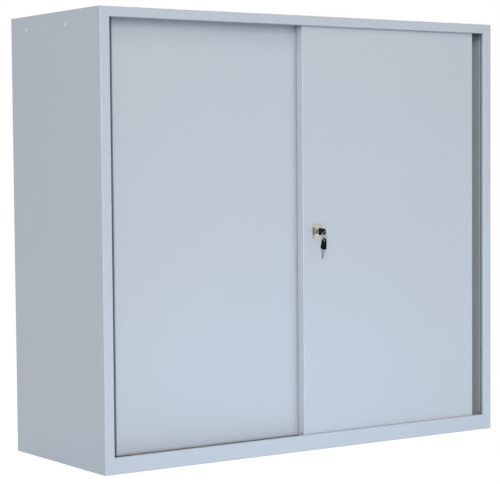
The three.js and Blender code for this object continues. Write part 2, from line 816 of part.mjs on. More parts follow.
function rightDoor() {
  const hole = rod(lockBarrelRadius + seatGap, -overrun, sheet + overrun, lockSides)
    .translate(lockInset, 0, lockHeight - doorFloorGap);
  const group = door('right', [hole]);
  const lock = new THREE.Group();
  lock.add(mesh('lock_body', lockBody(), nickel), mesh('lock_nut', lockNut(), zincSteel));
  lock.add(mesh('lock_plug', lockPlug(), nickel), mesh('lock_cam', lockCam(), zincSteel));
  lock.add(insertedKey());
  const ring = new THREE.Group();
  const ringMesh = mesh('key_ring', keyRing(), nickel);
  ringMesh.rotation.z = ringTurn * degree;
  ringMesh.position.z = -ringRadius;
  ring.add(ringMesh, spareKey());
  ring.position.set(0, -plugFront - headLockGap - headLength + headHoleInset, -ringDrop);
  lock.add(ring);
  lock.position.set(lockInset, 0, lockHeight - doorFloorGap);
  group.add(lock);
  group.position.set(rightDoorX, doorSetback, doorFloorGap);
  return group;
}

// The case is drawn from its left front corner
function buildCase() {
  const group = new THREE.Group();
  const side = sidePanel();
  group.add(mesh('left_side_panel', side, paint), mesh('right_side_panel', mirrored(side), paint));
  group.add(mesh('top_panel', topPanel(), paint), mesh('floor_panel', floorPanel(), paint));
  group.add(mesh('front_bottom_rail', frontRail(), paint), mesh('back_panel', backPanel(), paint));
  group.add(mesh('centre_bearer', centreBearer(), paint));
  group.add(mesh('top_track', topTrack(), zincSteel), mesh('bottom_track', bottomTrack(), zincSteel));
  group.add(mesh('left_rail_stop', railStop(), rubber));
  group.add(mesh('right_rail_stop', mirrored(railStop()), rubber));
  const places = ['front', 'rear'];
  const [front, rear] = uprightSetbacks;
  const land = [[skinInside, landSetback], [landFace, landSetback], [landFace, front]];
  const strips = [upright(front, land, landTop), upright(rear, [[skinInside, rear]], uprightTop)];
  strips.forEach((strip, i) => {
    group.add(mesh(`left_${places[i]}_upright`, strip, paint));
    group.add(mesh(`right_${places[i]}_upright`, mirrored(strip), paint));
    const screw = caseScrew(screwSetbacks[i]);
    group.add(mesh(`left_${places[i]}_screw`, screw, zincSteel));
    group.add(mesh(`right_${places[i]}_screw`, mirrored(screw), zincSteel));
  });
  shelfSlots.forEach((slot, row) => {
    const slotZ = floorHeight + slotStart + slot * slotPitch;
    group.add(mesh(`shelf_${row + 1}`, shelf(slotZ), paint));
    uprightSetbacks.forEach((setback, i) => {
      const clip = shelfClip(setback, slotZ);
      group.add(mesh(`shelf_${row + 1}_left_${places[i]}_clip`, clip, zincSteel));
      group.add(mesh(`shelf_${row + 1}_right_${places[i]}_clip`, mirrored(clip), zincSteel));
    });
  });
  return group;
}

const cabinet = new THREE.Group();
const placed = new THREE.Group();
placed.position.set(-caseWidth / 2, -caseDepth / 2, 0);
placed.add(buildCase(), leftDoor(), rightDoor());
cabinet.add(placed);

export default cabinet;
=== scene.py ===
import math

import bmesh
import bpy
import numpy as np
from mathutils import Matrix, Vector


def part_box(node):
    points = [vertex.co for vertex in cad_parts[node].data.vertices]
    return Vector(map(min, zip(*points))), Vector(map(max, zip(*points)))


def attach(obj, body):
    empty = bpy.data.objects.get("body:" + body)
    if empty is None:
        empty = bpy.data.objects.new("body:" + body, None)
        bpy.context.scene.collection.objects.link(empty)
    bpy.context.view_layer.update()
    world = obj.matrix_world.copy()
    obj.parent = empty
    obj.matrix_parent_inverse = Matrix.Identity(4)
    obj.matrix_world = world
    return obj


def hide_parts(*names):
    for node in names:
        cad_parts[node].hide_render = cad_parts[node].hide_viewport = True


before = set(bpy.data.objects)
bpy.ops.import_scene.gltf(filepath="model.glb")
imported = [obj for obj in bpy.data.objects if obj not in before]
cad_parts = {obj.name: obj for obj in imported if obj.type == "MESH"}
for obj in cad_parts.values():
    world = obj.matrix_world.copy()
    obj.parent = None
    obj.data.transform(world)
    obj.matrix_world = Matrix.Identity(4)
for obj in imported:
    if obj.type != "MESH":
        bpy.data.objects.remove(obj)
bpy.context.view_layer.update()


# Camera
# The cabinet is seen from its front left with a long lens, from about the height of the
# upper third of the doors, so that its upright edges stay nearly parallel.
camera_place = Vector((-2.58369, -3.74196, 0.73458))
camera_yaw = math.radians(34.523)
camera_pitch = math.radians(-3.376)
camera_roll = math.radians(-0.4368)
lens_length = 125.38
sensor_width = 36.0
picture_width = 500
picture_offset = (8, 20)

camera = bpy.data.objects.new("camera", bpy.data.cameras.new("camera"))
camera.data.sensor_width = sensor_width
camera.data.lens = lens_length
camera.data.shift_x = -picture_offset[0] / picture_width
camera.data.shift_y = picture_offset[1] / picture_width
turn = Matrix.Rotation(-camera_yaw, 4, "Z") @ Matrix.Rotation(math.pi / 2 + camera_pitch, 4, "X")
camera.matrix_world = (
    Matrix.Translation(camera_place) @ turn @ Matrix.Rotation(camera_roll, 4, "Z"))
bpy.context.scene.collection.objects.link(camera)
bpy.context.scene.camera = camera


# Side panels
# Each side is one sheet of 1 mm steel, folded to a front flange with a short return behind
# it and to a rear flange, then powder coated. The front flange is cut to a mitre at its top,
# and below its return it stays flat to butt against the bottom rail.
sheet = 0.001
fold_radius = 0.0015
fold_margin = 0.0008
flange_return = 0.009
top_flange = 0.024
bottom_flange = 0.040
rear_flange = 0.020
relief_slit = 0.0006
seat_gap = 0.0003
skin_tolerance = seat_gap / 4
sheet_pitch = 0.02
sheet_wave = 0.0002
foot_rows = 4
side_rows = 46
merge_distance = 1e-6
case_grey = (190, 195, 202)
side_low, side_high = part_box("left_side_panel")
side_flange = side_high.x - side_low.x
case_top = side_high.z


def fold_line(corners, steps=6, margin=fold_margin):
    """Outer line of a folded sheet that lies on the left of a line through corner points.

    Each inner corner becomes an arc that touches the straight before and the straight after
    it, with the fold's outer radius on a left turn and its inner radius on a right turn. A
    point just before and just after each arc keeps the flats flat when shaded smooth.
    """
    corners = np.asarray(corners, float)
    step = np.diff(corners, axis=0)
    step /= np.linalg.norm(step, axis=1, keepdims=True)
    before, after = step[:-1], step[1:]
    turn = np.arctan2(before[:, 0] * after[:, 1] - before[:, 1] * after[:, 0],
                      (before * after).sum(axis=1))[:, None]
    radius = np.where(turn > 0, fold_radius + sheet, fold_radius)
    setback = radius * np.tan(abs(turn) / 2)
    inward = np.sign(turn) * np.stack([-before[:, 1], before[:, 0]], axis=1)
    centre = corners[1:-1] - before * setback + inward * radius
    angle = turn * np.linspace(0, 1, steps + 1)
    cosine, sine = np.cos(angle)[..., None], np.sin(angle)[..., None]
    spoke = -inward[:, None, :]
    across = np.stack([-spoke[..., 1], spoke[..., 0]], axis=-1)
    arc = centre[:, None] + radius[:, None] * (spoke * cosine + across * sine)
    start = (corners[1:-1] - before * (setback + margin))[:, None]
    end = (corners[1:-1] + after * (setback + margin))[:, None]
    bends = np.concatenate([start, arc, end], axis=1).reshape(-1, 2)
    return np.vstack([corners[:1], bends, corners[-1:]])


def distance_along(line):
    """Distance of each point of a line from its first, along the line."""
    return np.append(0, np.cumsum(np.linalg.norm(np.diff(line, axis=0), axis=1)))


def points_at(places, line):
    """Points of a line at given distances along it."""
    along = distance_along(line)
    return np.stack([np.interp(places, along, line[:, axis]) for axis in (0, 1)], axis=1)


def cut_evenly(line):
    """The same line with more points on it, so that no stretch is longer than the pitch."""
    along = distance_along(line)
    return points_at(np.union1d(along, np.arange(sheet_pitch, along[-1], sheet_pitch)), line)


def carried(line, axes, start, end, stations):
    """Grid of a profile carried straight along an axis: point = start + share * (end - start).

    axes says which of x, y and z the profile's two directions and the path lie on. start and
    end may differ from point to point of the profile, as they do at a mitre.
    """
    share = np.linspace(0, 1, stations)
    start, end = np.broadcast_to(start, len(line)), np.broadcast_to(end, len(line))
    grid = np.empty((len(line), stations, 3))
    grid[..., "xyz".index(axes[0])] = line[:, :1]
    grid[..., "xyz".index(axes[1])] = line[:, 1:]
    grid[..., "xyz".index(axes[2])] = start[:, None] + (end - start)[:, None] * share
    return grid


def panel_wave(across, up, depth=sheet_wave):
    """How far a flat of thin sheet lies back: depth * sin(pi across)^2 * sin(pi up)^2, so
    nothing at its edges, times a swell of two slow sine waves, at most 1.

    across and up run from 0 to 1 over the flat.
    """
    across, up = np.clip(across, 0, 1), np.clip(up, 0, 1)
    crown = np.sin(np.pi * across) ** 2 * np.sin(np.pi * up) ** 2
    swell = 0.62 + 0.2 * np.sin(5.1 * across + 7.3 * up) + 0.18 * np.sin(11 * up - 4.2 * across)
    return depth * crown * swell


def grid_faces(grid, keep=None, wrap=(False, False)):
    """Faces between the points of a grid, whose rows or columns may close on themselves.

    keep is a mask with one value per face.
    """
    number = np.arange(grid.shape[0] * grid.shape[1]).reshape(grid.shape[:2])
    if wrap[0]:
        number = np.vstack([number, number[:1]])
    if wrap[1]:
        number = np.hstack([number, number[:, :1]])
    faces = np.stack([number[:-1, :-1], number[1:, :-1], number[1:, 1:], number[:-1, 1:]],
                     axis=-1)
    return faces.reshape(-1, 4) if keep is None else faces[keep]


def shape(name, *grids, keep=None, wrap=(False, False), wall=0, sharp=32):
    """Object of one or more grids, merged where points meet and shaded smooth.

    With a wall the grids are the outer faces of a sheet, which then gets its thickness.
    Without one they are closed, and their faces are turned outwards.
    """
    firsts = np.cumsum([0] + [grid.shape[0] * grid.shape[1] for grid in grids])
    points = np.vstack([grid.reshape(-1, 3) for grid in grids])
    faces = np.vstack([grid_faces(grid, keep, wrap) + first
                       for grid, first in zip(grids, firsts)])
    used, faces = np.unique(faces, return_inverse=True)
    mesh = bpy.data.meshes.new(name)
    mesh.from_pydata(points[used].tolist(), [], faces.reshape(-1, 4).tolist())
    work = bmesh.new()
    work.from_mesh(mesh)
    bmesh.ops.remove_doubles(work, verts=work.verts, dist=merge_distance)
    if not wall:
        bmesh.ops.recalc_face_normals(work, faces=work.faces)
    work.to_mesh(mesh)
    work.free()
    piece = bpy.data.objects.new(name, mesh)
    bpy.context.scene.collection.objects.link(piece)
    if wall:
        thickness = piece.modifiers.new("wall", "SOLIDIFY")
        thickness.thickness = wall
        thickness.offset = -1
        thickness.use_even_offset = True
        view = bpy.context.evaluated_depsgraph_get()
        piece.data = bpy.data.meshes.new_from_object(piece.evaluated_get(view))
        piece.modifiers.clear()
    piece.data.shade_smooth()
    piece.data.set_sharp_from_angle(angle=math.radians(sharp))
    return piece


def fitted(piece, body, slot, material, *nodes):
    """Gives a piece its finish and the body that it rides, in place of plain nodes."""
    piece.data.materials.append(material)
    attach(piece, body)
    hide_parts(*nodes)


def linear(colour):
    """Screen colour of 0 to 255 as the light that it stands for."""
    share = np.array(colour) / 255
    light = np.where(share <= 0.04045, share / 12.92, ((share + 0.055) / 1.055) ** 2.4)
    return (*light.tolist(), 1.0)


def new_group(name, **inputs):
    """Surface group with inputs of each kind, which puts out colour, roughness and normal."""
    group = bpy.data.node_groups.new(name, "ShaderNodeTree")
    outputs = {"Color": ["Colour"], "Float": ["Roughness"], "Vector": ["Normal"]}
    for direction, sockets in (("INPUT", inputs), ("OUTPUT", outputs)):
        for kind, labels in sockets.items():
            for label in labels:
                group.interface.new_socket(label, in_out=direction,
                                           socket_type="NodeSocket" + kind)
    return group, group.nodes.new("NodeGroupInput").outputs


def node(tree, kind, inputs=None, **settings):
    """New node of a tree. An input is a value, a socket, or a node, for its first output."""
    made = tree.nodes.new("ShaderNode" + kind)
    for label, value in settings.items():
        setattr(made, label, value)
    for label, value in (inputs or {}).items():
        if isinstance(value, bpy.types.Node):
            value = value.outputs[0]
        if isinstance(value, bpy.types.NodeSocket):
            tree.links.new(value, made.inputs[label])
        else:
            made.inputs[label].default_value = value
    return made


def end_group(group, colour, roughness, height, depth):
    """Puts out a group's colour, its roughness, and the normal of a height."""
    bump = node(group, "Bump", {"Height": height, "Distance": depth})
    result = group.nodes.new("NodeGroupOutput")
    for label, source in (("Colour", colour), ("Roughness", roughness),
                          ("Normal", bump.outputs["Normal"])):
        group.links.new(source, result.inputs[label])
    return group


def build_coat_group():
    """Powder coat and moulded skins: one colour that drifts a little from place to place,
    an uneven gloss, and a fine grain that stands in the normal."""
    group, given = new_group("coat_surface", Color=["Colour"], Float=[
        "Drift", "Roughness", "Gloss Drift", "Grain Scale", "Grain Depth"])
    place = node(group, "TexCoord").outputs["Object"]
    cloud = node(group, "TexNoise", {"Vector": place, "Scale": 3.2, "Detail": 3.0})
    smudge = node(group, "TexNoise",
                  {"Vector": place, "Scale": 11.0, "Detail": 4.0, "Distortion": 0.6})
    grain = node(group, "TexNoise",
                 {"Vector": place, "Scale": given["Grain Scale"], "Detail": 2.0})
    centred = node(group, "Math", {0: cloud, 1: 0.5}, operation="SUBTRACT")
    factor = node(group, "Math", {0: centred, 1: given["Drift"], 2: 1.0},
                  operation="MULTIPLY_ADD")
    tint = node(group, "VectorMath", {0: given["Colour"], "Scale": factor}, operation="SCALE")
    uneven = node(group, "Math", {0: smudge, 1: 0.5}, operation="SUBTRACT")
    rough = node(group, "Math", {0: uneven, 1: given["Gloss Drift"], 2: given["Roughness"]},
                 operation="MULTIPLY_ADD")
    return end_group(group, tint.outputs[0], rough.outputs[0], grain, given["Grain Depth"])


def finish(name, group, values, same_all_over=()):
    """Material whose colour, roughness and normal come from a group with its own values.

    What is the same all over the surface is set on the shader itself.
    """
    material = bpy.data.materials.new(name)
    material.use_nodes = True
    tree = material.node_tree
    shader = tree.nodes["Principled BSDF"]
    surface = node(tree, "Group", values, node_tree=group)
    for label, value in same_all_over:
        shader.inputs[label].default_value = value
    for source, label in (("Colour", "Base Color"), ("Roughness", "Roughness"),
                          ("Normal", "Normal")):
        tree.links.new(surface.outputs[source], shader.inputs[label])
    return material


coat_surface = build_coat_group()


def powder_coat(name, colour, roughness, gloss_drift=0.08):
    """Powder coat of a colour, with the same faint drift and grain on every sheet."""
    return finish(name, coat_surface, {
        "Colour": linear(colour), "Drift": 0.03, "Roughness": roughness,
        "Gloss Drift": gloss_drift, "Grain Scale": 900.0, "Grain Depth": 0.00002})


case_paint = powder_coat("case_powder_coat", case_grey, 0.42)


def case_sheet(name, replaced, *grids, keep=None, sharp=32):
    """Painted sheet of the case, from its outer faces, in place of a plain node."""
    piece = shape(name, *grids, keep=keep, wall=sheet, sharp=sharp)
    fitted(piece, "case", "case_paint", case_paint, replaced)


side_line = cut_evenly(fold_line([
    (side_low.x + rear_flange, side_high.y), (side_low.x, side_high.y),
    (side_low.x, side_low.y), (side_high.x, side_low.y),
    (side_high.x, side_low.y + flange_return)]))
side_reach = side_line[:, 0] - side_low.x
side_is_front = side_line[:, 1] < side_low.y + flange_return + seat_gap
mitre_top = case_top - side_reach * top_flange / side_flange
rear_top = case_top - np.where(side_reach > sheet, sheet + seat_gap, 0)
side_top = np.where(side_is_front, mitre_top, rear_top)
side_grid = np.hstack([
    carried(side_line, "xyz", 0.0, bottom_flange - relief_slit, foot_rows),
    carried(side_line, "xyz", bottom_flange, side_top, side_rows)])
side_share = (side_grid[..., 1] - side_low.y) / (side_high.y - side_low.y)
side_skin = side_grid[..., 0] < side_low.x + skin_tolerance
side_grid[..., 0] += side_skin * panel_wave(side_share, side_grid[..., 2] / case_top)
bend_start = side_high.x - fold_radius - sheet
in_return = (side_line[:, 0] > bend_start) & side_is_front
bend_share = np.linspace(0, 1, in_return.sum() + 1)[1:, None]
side_grid[in_return, :foot_rows, 0] = bend_start + bend_share * (side_high.x - bend_start)
side_grid[in_return, :foot_rows, 1] = side_low.y
side_keep = np.ones((len(side_line) - 1, side_grid.shape[1] - 1), bool)
side_keep[in_return[1:], foot_rows - 1] = False
mirror = np.array([-1, 1, 1])
for hand, grid, keep in (("left", side_grid, side_keep),
                         ("right", (side_grid * mirror)[::-1], side_keep[::-1])):
    case_sheet(hand + "_side_sheet", hand + "_side_panel", grid, keep=keep)


# Top panel
# The top is a shallow tray of the same sheet. Its front flange shows between the mitres,
# its rear flange meets the back and its side flanges take the screws.
top_low, top_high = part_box("top_panel")
top_rear_flange = 0.022
top_side_flange = 0.050
top_side_start = 0.095
top_side_end = 0.016
top_columns = 60


def dished(grid, low, high, depth=sheet_wave):
    """The same folded sheet with its level top, but not its folds, let down by its wave."""
    across, back = ((grid[..., axis] - low[axis]) / (high[axis] - low[axis]) for axis in (0, 1))
    level = grid[..., 2] > high.z - skin_tolerance
    grid[..., 2] -= level * panel_wave(across, back, depth)
    return grid


def side_folds(line, start, end):
    """Left and right fold of a tray, each a profile carried straight back."""
    left = carried(line, "xzy", start, end, 2)[::-1]
    return left, (left * mirror)[::-1]


top_line = cut_evenly(fold_line([
    (top_high.y, case_top - top_rear_flange), (top_high.y, case_top), (top_low.y, case_top),
    (top_low.y, case_top - top_flange), (top_low.y + flange_return, case_top - top_flange)]))
below_top = case_top - top_line[:, 1]
in_front = top_line[:, 0] < top_low.y + flange_return + seat_gap
mitre_end = side_low.x + (below_top + seat_gap) * side_flange / top_flange
flange_end = side_low.x + rear_flange + seat_gap
in_rear_flange = (top_line[:, 0] > top_high.y - sheet) & (below_top > sheet)
top_end = np.where(in_front, np.maximum(mitre_end, top_low.x),
                   np.where(in_rear_flange, flange_end, top_low.x))
top_grid = carried(top_line, "yzx", top_end, -top_end, top_columns)
flange_line = fold_line([
    (top_low.x + sheet + seat_gap, case_top - sheet - seat_gap),
    (top_low.x, case_top - sheet - seat_gap), (top_low.x, case_top - top_side_flange)], margin=0)
case_sheet("top_sheet", "top_panel", dished(top_grid, top_low, top_high),
           *side_folds(flange_line[2:], top_low.y + top_side_start, top_high.y - top_side_end))


# Floor panel and its bearer
# The floor is a tray folded down on all sides, which stands behind the door tracks. A hat
# section bonded under its middle rests on the ground.
floor_low, floor_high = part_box("floor_panel")
floor_side_inset = 0.006
sheet_columns = 40

floor_line = cut_evenly(fold_line([
    (floor_high.y, floor_low.z), (floor_high.y, floor_high.z),
    (floor_low.y, floor_high.z), (floor_low.y, floor_low.z)]))
in_rear_flange = ((floor_line[:, 0] > floor_high.y - sheet)
                  & (floor_line[:, 1] < floor_high.z - sheet))
floor_end = np.where(in_rear_flange, flange_end, floor_low.x)
floor_grid = carried(floor_line, "yzx", floor_end, -floor_end, sheet_columns)
skirt_line = np.array([(floor_low.x, floor_high.z - sheet), (floor_low.x, floor_low.z)])
case_sheet("floor_sheet", "floor_panel", dished(floor_grid, floor_low, floor_high),
           *side_folds(skirt_line, floor_low.y + floor_side_inset, floor_high.y - rear_flange))


def finish_nodes(material, *names):
    """Gives nodes whose shape is right their finish."""
    for name in names:
        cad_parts[name].material_slots[0].material = material


finish_nodes(case_paint, "centre_bearer")


# Front bottom rail
# The rail closes the front below the doors. It is folded back over its top edge, and its
# base runs back under the tracks.
rail_low, rail_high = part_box("front_bottom_rail")

rail_line = cut_evenly(fold_line([
    (rail_low.y + flange_return, rail_high.z), (rail_low.y, rail_high.z),
    (rail_low.y, rail_low.z), (rail_high.y, rail_low.z)]))
case_sheet("front_rail_sheet", "front_bottom_rail",
           carried(rail_line, "yzx", rail_low.x, rail_high.x, sheet_columns))


# Back panel
# The back is one flat sheet, spot welded all round to the flanges of the sides, the top and
# the floor. Each weld leaves a shallow round dimple under the paint.
back_low, back_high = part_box("back_panel")
weld_edge_inset = 0.010
weld_columns = 9
weld_rows = 8
weld_radius = 0.005
weld_depth = 0.0009
weld_rings = weld_radius * np.linspace(-1, 1, 9)
back_pitch = 0.04


def weld_lines(low, high, count):
    """Grid lines over a span of the back, close together at each of its evenly spaced welds,
    with their distance from the nearest weld, and a mask of those near the sheet's edge."""
    welds = np.linspace(low + weld_edge_inset, high - weld_edge_inset, count)
    even = np.arange(low + back_pitch, high - back_pitch / 2, back_pitch)
    near = abs(even[:, None] - welds).min(axis=1) < weld_radius + back_pitch / 8
    close = (welds[:, None] + weld_rings).ravel()
    lines = np.unique(np.concatenate([[low, high], close, even[~near]]))
    at_edge = (lines < low + 2 * weld_edge_inset) | (lines > high - 2 * weld_edge_inset)
    return lines, abs(lines[:, None] - welds).min(axis=1), at_edge


back_x, from_column, edge_column = weld_lines(back_low.x, back_high.x, weld_columns)
back_z, from_row, edge_row = weld_lines(back_low.z, back_high.z, weld_rows)
back_grid = np.stack(np.broadcast_arrays(back_x[None, :], back_high.y, back_z[:, None]), axis=-1)
from_weld = np.hypot(from_row[:, None], from_column[None, :]) / weld_radius
at_edge = edge_row[:, None] | edge_column[None, :]
back_grid[..., 1] -= weld_depth * at_edge * np.clip(1 - from_weld ** 2, 0, 1) ** 2
back_grid[..., 1] -= panel_wave((back_grid[..., 0] - back_low.x) / (back_high.x - back_low.x),
                                back_grid[..., 2] / back_high.z)
case_sheet("back_sheet", "back_panel", back_grid, sharp=60)


# Tracks and rail stops
# A rolled steel strip with two round-topped ribs carries the door rollers, and a comb of
# four legs under the top makes two lanes for the guides. Both are bright zinc plated.
# Rubber blocks over the ribs' ends stop the doors.
def build_plate_group():
    """Plated steel: fine lines left by rolling or brushing, stretched along one direction,
    with duller patches between them."""
    group, given = new_group("plated_surface", Color=["Colour", "Dull Colour"], Float=[
        "Roughness", "Roughness Spread", "Line Depth"], Vector=["Line Scale"])
    place = node(group, "TexCoord").outputs["Object"]
    stretched = node(group, "VectorMath", {0: place, 1: given["Line Scale"]},
                     operation="MULTIPLY")
    lines = node(group, "TexNoise", {"Vector": stretched, "Scale": 1.0, "Detail": 3.0})
    patches = node(group, "TexNoise",
                   {"Vector": place, "Scale": 90.0, "Detail": 5.0, "Distortion": 0.8})
    dull = node(group, "MapRange", {"Value": patches, "From Min": 0.42, "From Max": 0.66})
    tint = node(group, "Mix",
                {"Factor": dull, "A": given["Colour"], "B": given["Dull Colour"]},
                data_type="RGBA")
    worn = node(group, "Math", {0: lines, 1: dull}, operation="ADD")
    rough = node(group, "Math",
                 {0: worn, 1: given["Roughness Spread"], 2: given["Roughness"]},
                 operation="MULTIPLY_ADD")
    return end_group(group, tint.outputs["Result"], rough.outputs[0], lines,
                     given["Line Depth"])


plated_surface = build_plate_group()
zinc = finish("zinc_plate", plated_surface, {
    "Colour": linear((205, 207, 208)), "Dull Colour": linear((184, 187, 190)),
    "Roughness": 0.22, "Roughness Spread": 0.12, "Line Scale": (40.0, 900.0, 900.0),
    "Line Depth": 0.00001}, [("Metallic", 1.0)])
rubber = finish("stop_rubber", coat_surface, {
    "Colour": linear((44, 45, 48)), "Drift": 0.25, "Roughness": 0.78, "Gloss Drift": 0.2,
    "Grain Scale": 1400.0, "Grain Depth": 0.00005})
finish_nodes(zinc, "top_track", "bottom_track")
finish_nodes(rubber, "left_rail_stop", "right_rail_stop")


# Uprights, shelves and clips
# Four slotted channels are welded to the sides. Zinc plated clips hook into their slots and
# carry the corners of the shelves, which are folded down and in at the front and the rear.
shelf_lip = 0.012
shelf_sag = 0.0003
corners = [f"{side}_{place}" for side in ("left", "right") for place in ("front", "rear")]

finish_nodes(case_paint, *(f"{corner}_upright" for corner in corners))
for row in (1, 2):
    low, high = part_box(f"shelf_{row}")
    shelf_line = cut_evenly(fold_line([
        (high.y - shelf_lip, low.z), (high.y, low.z), (high.y, high.z),
        (low.y, high.z), (low.y, low.z), (low.y + shelf_lip, low.z)]))
    grid = carried(shelf_line, "yzx", low.x, high.x, sheet_columns)
    case_sheet(f"shelf_{row}_sheet", f"shelf_{row}", dished(grid, low, high, shelf_sag))
    finish_nodes(zinc, *(f"shelf_{row}_{corner}_clip" for corner in corners))


# Case screws
# Two pan-head screws near the top of each side hold the top panel between the sides. They
# were put in before the last coat, so their heads and cross recesses are painted over. The
# heads' coat is made lighter than the case's, a painted highlight that lets them show.
screw_head_radius = 0.005
screw_head_height = 0.0024
screw_head_fullness = 0.7
screw_shank_radius = 0.0022
screw_length = 0.009
screw_point = 0.001
recess_arm = 0.0026
recess_half_width = 0.00062
recess_depth = 0.0013
recess_slope = 0.00035
# The heads' grey is the case coat lightened: a painted highlight, not a different paint.
screw_highlight_grey = (208, 214, 222)
turned_sides = 72

# Coat of the screw heads with the painted highlight in its lighter grey.
screw_highlight_paint = powder_coat("screw_coat_painted_highlight", screw_highlight_grey, 0.30, 0.06)


def turned(radius, along, centre, sides=turned_sides):
    """Grid round a line along Y: point = centre + (radius cos a, place, radius sin a), with
    one place for each station, and a radius for each station or for each of its angles."""
    angle = np.linspace(0, 2 * np.pi, sides, endpoint=False)
    radius = np.broadcast_to(radius, (len(along), sides))
    return np.stack([centre[0] + radius * np.cos(angle),
                     centre[1] + np.reshape(along, (-1, 1)) + 0 * angle,
                     centre[2] + radius * np.sin(angle)], axis=-1)


def screw_grid():
    """Head and shank of a screw along the X axis, with its head towards -X.

    The head's top is an arc a little fuller than an ellipse's. The cross is sunk to its full
    depth within half an arm's width of either arm's line, and slopes to nothing beyond.
    """
    spread = np.linspace(0, np.pi / 2, 26)
    head_radius = screw_head_radius * np.sin(spread)
    head_x = -screw_head_height * np.cos(spread) ** screw_head_fullness
    neck_radius = np.array([screw_head_radius, screw_shank_radius, screw_shank_radius, 0])
    neck_x = np.array([-seat_gap, -seat_gap, screw_length - screw_point, screw_length])
    radius = np.append(head_radius, neck_radius)
    depth = np.append(np.minimum(head_x, -seat_gap), neck_x)
    grid = turned(radius[:, None], depth, (0, 0, 0))[..., [1, 0, 2]]
    across = np.minimum(abs(grid[..., 1]), abs(grid[..., 2]))
    along = np.maximum(abs(grid[..., 1]), abs(grid[..., 2]))
    flank = np.clip((recess_half_width - across) / recess_slope + 0.5, 0, 1)
    end = np.clip((recess_arm - along) / (3 * recess_slope) + 0.5, 0, 1)
    is_head = np.arange(len(radius)) < len(head_radius)
    grid[..., 0] += is_head[:, None] * recess_depth * flank * end
    return grid


for side, facing in (("left", 1), ("right", -1)):
    for place in ("front", "rear"):
        name = f"{side}_{place}_screw"
        low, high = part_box(name)
        seat = side_low.x if facing > 0 else -side_low.x
        middle = np.array([seat, (low.y + high.y) / 2, (low.z + high.z) / 2])
        grid = screw_grid() * np.array([facing, 1, 1]) + middle
        fitted(shape(name + "_head", grid, wrap=(False, True)),
               "case", "screw_steel", screw_highlight_paint, name)


# Door pans
# Each door is one sheet folded back on all four sides, with an inner lip on the two upright
# ones. The bottom return has a slot over each roller, the upright returns a small hole each
# to hang the door from in the paint line, and the front door a hole for its lock.
door_grey = (191, 195, 201)
door_lip = 0.012
roller_slot = 0.0175
roller_slot_margin = 0.0015
hang_hole = 0.0028
hang_hole_rise = 0.0072
lock_hole = 0.0098
door_wave = 0.0003
pan_pitch = 0.03
hole_margin_share = 1.001

door_paint = powder_coat("door_powder_coat", door_grey, 0.40)


